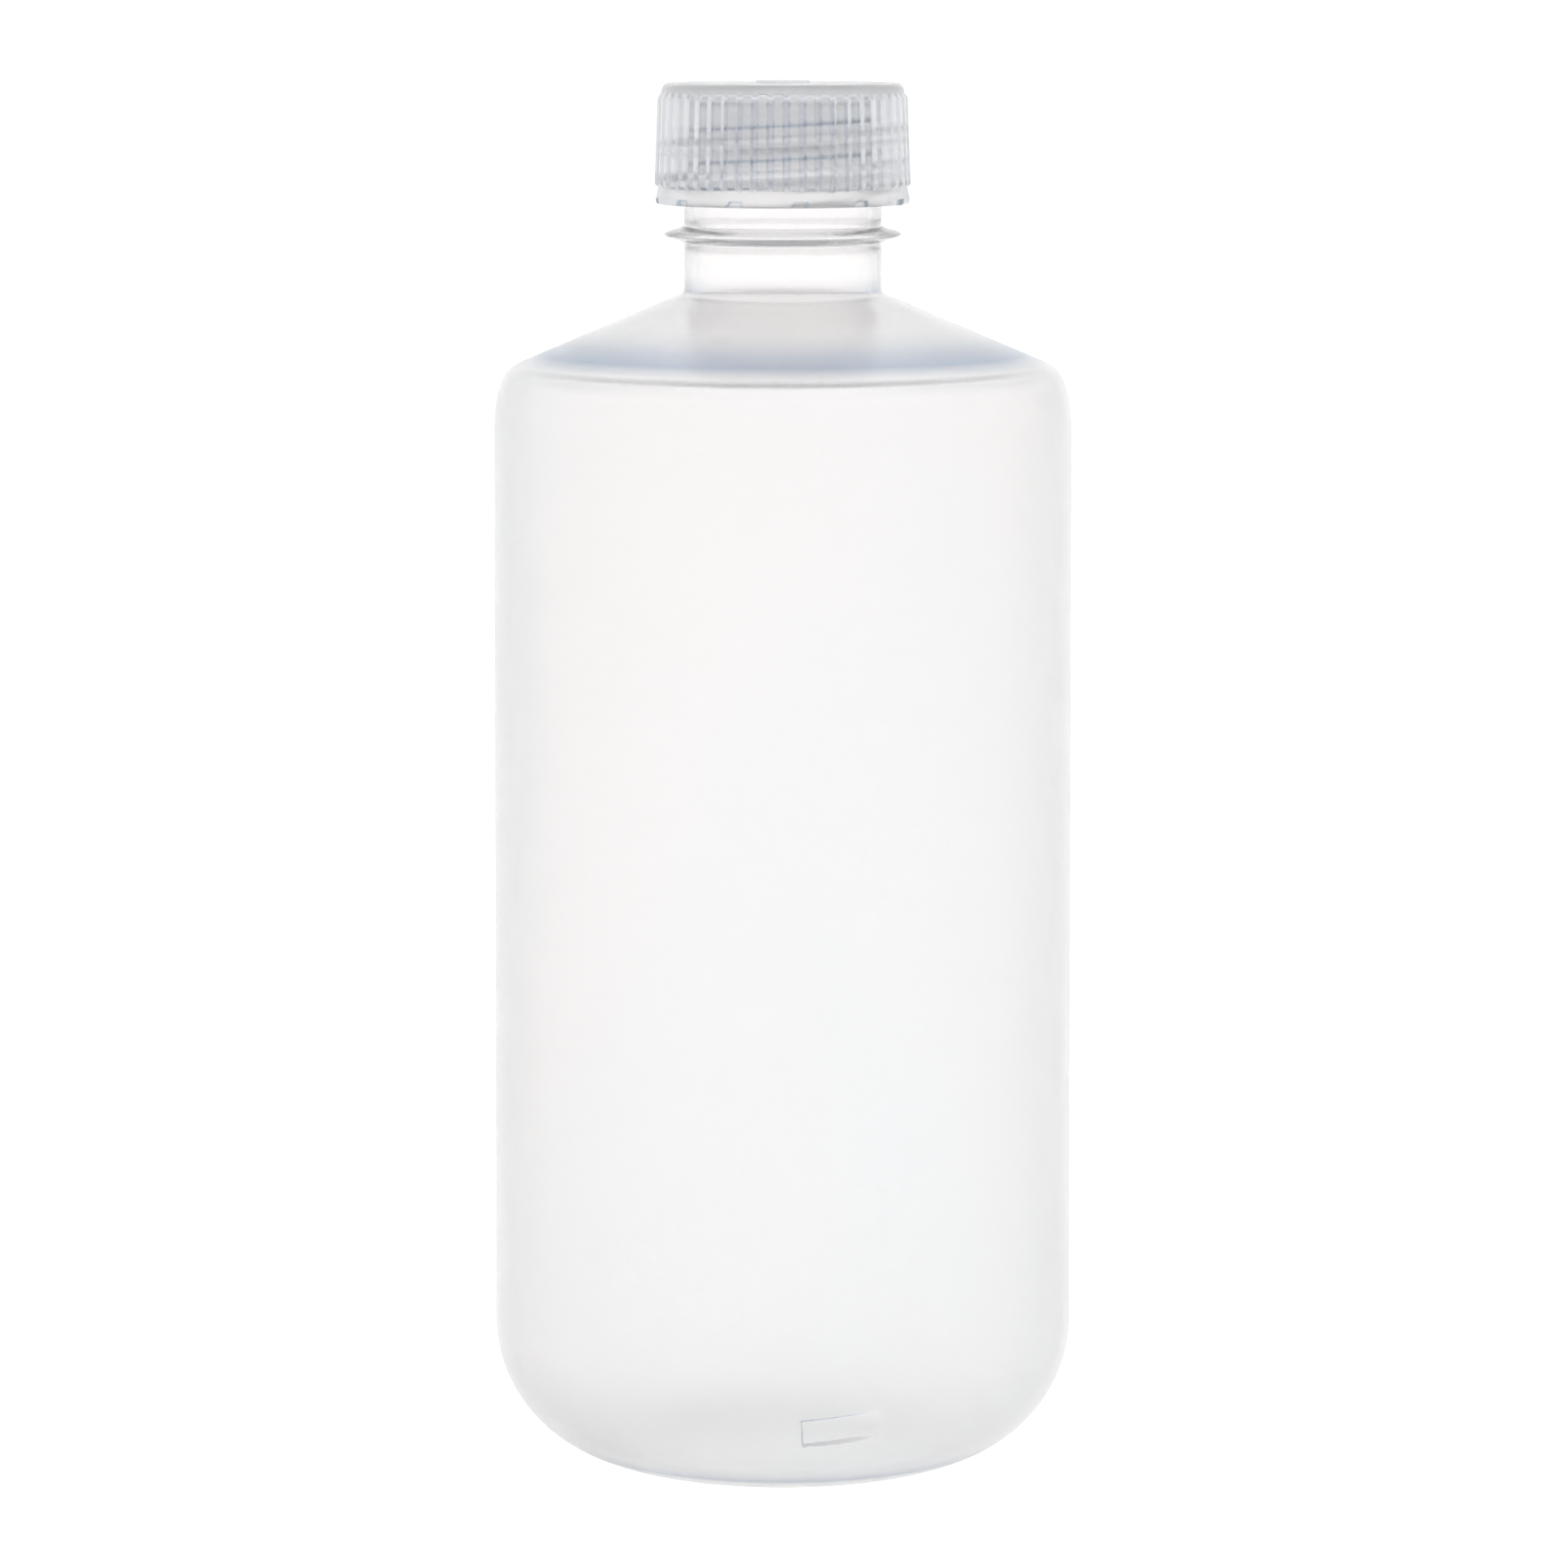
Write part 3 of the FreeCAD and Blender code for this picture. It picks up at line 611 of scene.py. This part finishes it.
def make_band(skin, start, last):
    """The skirt's end and the plain band, with its notches."""
    deep = BAND_RADIUS - NOTCH_DEPTH
    round_at = BAND_RADIUS - BAND_ROUND
    # (height at which the notch's sides are taken, band's radius and height, notch's radius and height)
    rows = [(0.0, (round_at - 0.5, 0.0), (deep - 0.4, 0.0)), (0.0, (round_at, 0.0), (deep, 0.0))]
    for a in (-1.05, -0.6, -0.2):
        z = BAND_ROUND + BAND_ROUND * math.sin(a)
        rows.append((z, (round_at + BAND_ROUND * math.cos(a), z), (deep, z)))
    z = NOTCH_HEIGHT - 0.03
    rows.append((z, (BAND_RADIUS - 0.01, z), (deep, z)))
    rows.append((NOTCH_HEIGHT, (BAND_RADIUS - 0.012, NOTCH_HEIGHT), (deep + 0.05, NOTCH_HEIGHT)))
    rows.append((NOTCH_HEIGHT, (BAND_RADIUS - 0.014, NOTCH_HEIGHT + 0.05),
                 (BAND_RADIUS - 0.05, NOTCH_HEIGHT + 0.002)))
    for side, inset, z in ((NOTCH_HEIGHT + 0.05, 0.03, NOTCH_HEIGHT + 0.1), (1.2, 0.11, 1.2),
                           (1.7, 0.2, 1.7)):
        rows.append((side, (BAND_RADIUS - inset, z), (BAND_RADIUS - inset, z)))
    rings = []
    for side, plain, notch in rows:
        columns = notch_columns(side, start)
        rings.append(skin.ring([(bearing, *(notch if cut else plain)) for bearing, cut in columns]))
    skin.stitch(last, rings[0])
    for a, b in zip(rings, rings[1:]):
        skin.bridge(a, b)
    return rings[-1]


def make_ribs(skin, start, last):
    """The ribbed skirt, from the band up to where the ribs run out."""
    columns = rib_columns(start)
    waist = skin.ring([(b, BAND_WAIST, BAND_HEIGHT) for b, _ in columns])
    skin.stitch(last, waist)
    heights = [BAND_HEIGHT + s for s in (0.06, 0.16, 0.28, 0.38, 0.45, 0.52)]
    heights += spread(BAND_HEIGHT + 1.5, RIB_TOP - 1.2, 7)
    heights += [RIB_TOP - s for s in (RIB_RUN_OUT, 0.78, 0.62, 0.48, 0.36, 0.24, 0.12, 0.0)]
    last = waist
    for z in heights:
        wall = cap_wall(z)
        clear = max(z - BAND_HEIGHT, 0)
        fade = smooth((RIB_TOP - z) / RIB_RUN_OUT)
        ring = skin.ring([(b, wall + min(RIB_RISE * rib_shape(p) * fade, clear), z)
                          for b, p in columns])
        skin.bridge(last, ring)
        last = ring
    return last


def make_top(skin, start, last):
    """The rounded edge and the top face with its raised disc."""
    top = around(start, TOP_COLUMNS)
    angles = spread(math.asin((RIB_TOP - CAP_TOP + TOP_ROUND) / TOP_ROUND), math.pi / 2, 7)[1:]
    edge = [(CROWN - TOP_ROUND + TOP_ROUND * math.cos(a), CAP_TOP - TOP_ROUND + TOP_ROUND * math.sin(a))
            for a in angles]
    first = skin.lathe(top, edge[:1])
    skin.stitch(last, first)
    face = [(12.0, CAP_TOP), (8.0, CAP_TOP), (BOSS_RADIUS + 0.25, CAP_TOP),
            (BOSS_RADIUS + 0.06, CAP_TOP + 0.04), (BOSS_RADIUS, CAP_TOP + BOSS_RISE - 0.08),
            (BOSS_RADIUS - 0.08, CAP_TOP + BOSS_RISE), (1.0, CAP_TOP + BOSS_RISE)]
    last = skin.lathe(top, edge[1:] + face, first)
    skin.close(last, CAP_TOP + BOSS_RISE)


def make_cap():
    """The cap, started at the bearing that keeps its thread in step with the neck's."""
    skin = Skin()
    lead_in = SEAT + CAP_THREAD_LEVEL + CAP_THREAD_DROP - THREAD_LEVEL
    start = (THREAD_START + 360.0 * lead_in / PITCH) % 360.0
    last = make_bore(skin, start)
    last = make_band(skin, start, last)
    last = make_ribs(skin, start, last)
    make_top(skin, start, last)
    skin.points = [(x, y, z + SEAT) for x, y, z in skin.points]
    return skin.mesh("ribbed_cap", cap_shade)


def notch_shade(bearing, height):
    """Painted shade: dark along the edges of the notches and along the skirt's lower end."""
    period = 360.0 / NOTCHES
    offset = (bearing - PHASE + period / 2) % period - period / 2
    left, right = notch_sides(height)
    if height > NOTCH_HEIGHT - 0.04:
        return PAINTED_SHADE_NOTCH if left - 0.01 <= offset <= right + 0.01 else 0.0
    if min(abs(offset - c) for c in (left, left + NOTCH_SKIN, right, right - NOTCH_SKIN)) < 0.01:
        return PAINTED_SHADE_NOTCH
    return PAINTED_SHADE_SKIRT if height < 0.03 and not left < offset < right else 0.0


def cap_shade(bearing, radius, height):
    """Painted shade: darkest in the valleys between the ribs and at the notches."""
    low, high = SEAT + BAND_HEIGHT, SEAT + RIB_TOP
    if radius > CAP_BORE + 1.0 and height < SEAT + NOTCH_HEIGHT + 0.04:
        return notch_shade(bearing, height - SEAT)
    if radius < CAP_BORE + 1.0 or not low < height < high:
        return 0.0
    phase = ((bearing + 90 - RIB_PHASE) * RIBS / 360.0 + 0.5) % 1 - 0.5
    ends = smooth((height - low) / 0.5), smooth((high - height) / 0.5)
    return PAINTED_SHADE_VALLEY * (1 - rib_shape(phase)) * ends[0] * ends[1]


def make_liner():
    skin = Skin()
    bearings = around(0.0, LINER_COLUMNS)
    low, high, radius = liner_low.z + LINER_GAP, liner_high.z - LINER_GAP, liner_high.x
    edge = LINER_ROUND
    ring = skin.lathe(bearings, [(6.0, low)])
    skin.close(ring, low)
    # the mouth's rim has pressed a shallow groove into the lower face
    profile = [(11.0, low), (11.4, low + 0.02), (12.2, low + 0.02), (12.8, low), (radius - edge, low),
               (radius, low + edge), (radius, high - edge), (radius - edge, high), (6.0, high)]
    last = skin.lathe(bearings, profile, ring)
    skin.close(last, high)
    return skin.mesh("foam_liner", lambda bearing, radius, height: 0.0)


# ---------------------------------------------------------------- materials

def new_material(name):
    material = bpy.data.materials.new(name)
    material.use_nodes = True
    nodes = material.node_tree.nodes
    return material, nodes, material.node_tree.links, nodes["Principled BSDF"], nodes["Material Output"]


def map_range(nodes, links, value, source, target, interpolation="LINEAR"):
    """A value mapped from one (low, high) range to another."""
    ramp = nodes.new("ShaderNodeMapRange")
    ramp.interpolation_type = interpolation
    for name, number in zip(("From Min", "From Max", "To Min", "To Max"), (*source, *target)):
        ramp.inputs[name].default_value = number
    links.new(value, ramp.inputs["Value"])
    return ramp.outputs["Result"]


def clouds(nodes, links, scale, low, high, stretch=(1, 1, 1), detail=2.0):
    """A noise in the object's own space, mapped to low..high."""
    place = nodes.new("ShaderNodeTexCoord")
    mapping = nodes.new("ShaderNodeMapping")
    mapping.inputs["Scale"].default_value = stretch
    noise = nodes.new("ShaderNodeTexNoise")
    noise.inputs["Scale"].default_value = scale
    noise.inputs["Detail"].default_value = detail
    links.new(place.outputs["Object"], mapping.inputs["Vector"])
    links.new(mapping.outputs["Vector"], noise.inputs["Vector"])
    return map_range(nodes, links, noise.outputs["Fac"], (0.3, 0.7), (low, high))


def climbing(nodes, links, low, high):
    """A value that is low on the body and high on the neck, and runs between them up the shoulder."""
    place = nodes.new("ShaderNodeTexCoord")
    split = nodes.new("ShaderNodeSeparateXYZ")
    links.new(place.outputs["Object"], split.inputs["Vector"])
    span = (SHOULDER_LEVEL * MM, NECK_LEVEL * MM)
    return map_range(nodes, links, split.outputs["Z"], span, (low, high))


def multiply(nodes, links, a, b, clamp=False):
    node = nodes.new("ShaderNodeMath")
    node.operation = "MULTIPLY"
    node.use_clamp = clamp
    links.new(a, node.inputs[0])
    links.new(b, node.inputs[1])
    return node.outputs["Value"]


def mix_colour(nodes, links, factor, a, b):
    """A mix of colour a, a socket or three numbers, with colour b."""
    mix = nodes.new("ShaderNodeMix")
    mix.data_type = "RGBA"
    links.new(factor, mix.inputs["Factor"])
    if isinstance(a, tuple):
        mix.inputs["A"].default_value = (*a, 1)
    else:
        links.new(a, mix.inputs["A"])
    mix.inputs["B"].default_value = (*b, 1)
    return mix.outputs["Result"]


def grain_bump(nodes, links, shader, strength, distance, height):
    bump = nodes.new("ShaderNodeBump")
    bump.inputs["Strength"].default_value = strength
    bump.inputs["Distance"].default_value = distance
    links.new(height, bump.inputs["Height"])
    links.new(bump.outputs["Normal"], shader.inputs["Normal"])


def polypropylene(name, warm, cool, dark, slant_gain, clear, rough, absorb, density, grain):
    """Natural polypropylene: it lets light through and blurs it, and its volume makes it bluer where it
    is thick.

    Shade is also painted into its colour: dark is the painted shade colour where the painted-shade
    attribute is 1, and slant_gain says how many times more of it a wall seen edge on takes. clear and
    rough hold the transmission and the roughness of the body and of the neck."""
    material, nodes, links, shader, output = new_material(name)
    tint = mix_colour(nodes, links, clouds(nodes, links, TINT_SCALE, 0, 1, (1, 1, 0.45)), warm, cool)
    painted_shade = nodes.new("ShaderNodeAttribute")
    painted_shade.attribute_name = PAINTED_SHADE
    slant = nodes.new("ShaderNodeLayerWeight")
    gain = map_range(nodes, links, slant.outputs["Facing"], SLANT, (1.0, slant_gain),
                     "SMOOTHSTEP")
    share = multiply(nodes, links, gain, painted_shade.outputs["Fac"], clamp=True)
    links.new(mix_colour(nodes, links, share, tint, dark), shader.inputs["Base Color"])

    patches = clouds(nodes, links, GLOSS_SCALE, *GLOSS_SPREAD, (1, 1, 0.4))
    blur = multiply(nodes, links, climbing(nodes, links, *rough), patches)
    links.new(blur, shader.inputs["Roughness"])
    shader.inputs["IOR"].default_value = IOR
    shader.inputs["Specular IOR Level"].default_value = SPECULAR
    if clear[0] == clear[1]:
        shader.inputs["Transmission Weight"].default_value = clear[0]
    else:
        links.new(climbing(nodes, links, *clear), shader.inputs["Transmission Weight"])
    texture = clouds(nodes, links, GRAIN_SCALE, 0, 1, (1, 1, 0.5))
    grain_bump(nodes, links, shader, grain, GRAIN_DISTANCE, texture)
    volume = nodes.new("ShaderNodeVolumeAbsorption")
    volume.inputs["Color"].default_value = (*absorb, 1)
    volume.inputs["Density"].default_value = density
    links.new(volume.outputs["Volume"], output.inputs["Volume"])
    return material


def foam():
    """Expanded foam: matt, with a fine mottled grain."""
    material, nodes, links, shader, _ = new_material("expanded_foam")
    mottle = clouds(nodes, links, 900, 0, 1)
    links.new(mix_colour(nodes, links, mottle, (0.93, 0.94, 0.95), (0.80, 0.82, 0.84)),
              shader.inputs["Base Color"])
    shader.inputs["Roughness"].default_value = 0.7
    grain_bump(nodes, links, shader, 0.3, 0.0003, clouds(nodes, links, 2200, 0, 1, detail=3.0))
    return material


# ---------------------------------------------------------------- stage

def make_world():
    """Even white light from all sides, a little warmer at the horizon."""
    world = bpy.data.worlds.new("studio")
    world.use_nodes = True
    nodes, links = world.node_tree.nodes, world.node_tree.links
    place = nodes.new("ShaderNodeTexCoord")
    split = nodes.new("ShaderNodeSeparateXYZ")
    ramp = nodes.new("ShaderNodeValToRGB")
    horizon, zenith = ramp.color_ramp.elements
    horizon.position, horizon.color = 0.0, HORIZON
    zenith.position, zenith.color = ZENITH_FROM, ZENITH
    links.new(place.outputs["Generated"], split.inputs["Vector"])
    links.new(split.outputs["Z"], ramp.inputs["Fac"])
    links.new(ramp.outputs["Color"], nodes["Background"].inputs["Color"])
    nodes["Background"].inputs["Strength"].default_value = 1.0
    bpy.context.scene.world = world


def make_floor():
    """A wide pale floor that glows, so that it shows white with only a trace of shadow."""
    h = FLOOR_HALF
    data = bpy.data.meshes.new("floor")
    data.from_pydata([(-h, -h, 0), (h, -h, 0), (h, h, 0), (-h, h, 0)], [], [(0, 1, 2, 3)])
    floor = bpy.data.objects.new("floor", data)
    floor.location.z = -FLOOR_DROP
    bpy.context.scene.collection.objects.link(floor)
    material, _, _, shader, _ = new_material("pale_floor")
    shader.inputs["Base Color"].default_value = FLOOR_GREY
    shader.inputs["Roughness"].default_value = 0.9
    shader.inputs["Specular IOR Level"].default_value = 0.0
    shader.inputs["Emission Color"].default_value = (1, 1, 1, 1)
    shader.inputs["Emission Strength"].default_value = FLOOR_GLOW
    data.materials.append(material)


def make_camera():
    data = bpy.data.cameras.new("camera")
    camera = bpy.data.objects.new("camera", data)
    bpy.context.scene.collection.objects.link(camera)
    data.sensor_width = SENSOR
    data.lens = LENS
    data.clip_start, data.clip_end = CLIP
    camera.location = CAMERA_AT
    camera.rotation_euler = (math.radians(90 - CAMERA_DOWN), 0, 0)
    bpy.context.scene.camera = camera


def fit_out(piece, material, body, node):
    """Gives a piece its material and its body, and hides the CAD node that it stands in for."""
    piece.data.materials.append(material)
    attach(piece, body)
    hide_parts(node)


# dark is each plastic's painted shade colour
blown = polypropylene("blown_polypropylene", warm=(0.998, 0.982, 0.976), cool=(0.972, 0.979, 0.985),
                      dark=(0.12, 0.24, 0.42), slant_gain=6.0, clear=(0.79, 0.94), rough=(0.25, 0.18),
                      absorb=(0.62, 0.68, 0.74), density=4.0, grain=0.01)
moulded = polypropylene("moulded_polypropylene", warm=(1.0, 0.99, 0.985), cool=(0.985, 0.99, 1.0),
                        dark=(0.56, 0.66, 0.77), slant_gain=1.5, clear=(0.96, 0.96), rough=(0.31, 0.31),
                        absorb=(0.62, 0.68, 0.74), density=12.0, grain=0.01)
fit_out(make_bottle(), blown, "bottle", "bottle")
fit_out(make_cap(), moulded, "cap", "screw_cap")
fit_out(make_liner(), foam(), "liner", "sealing_liner")
make_world()
make_floor()
make_camera()
bpy.context.scene.view_settings.view_transform = "Standard"
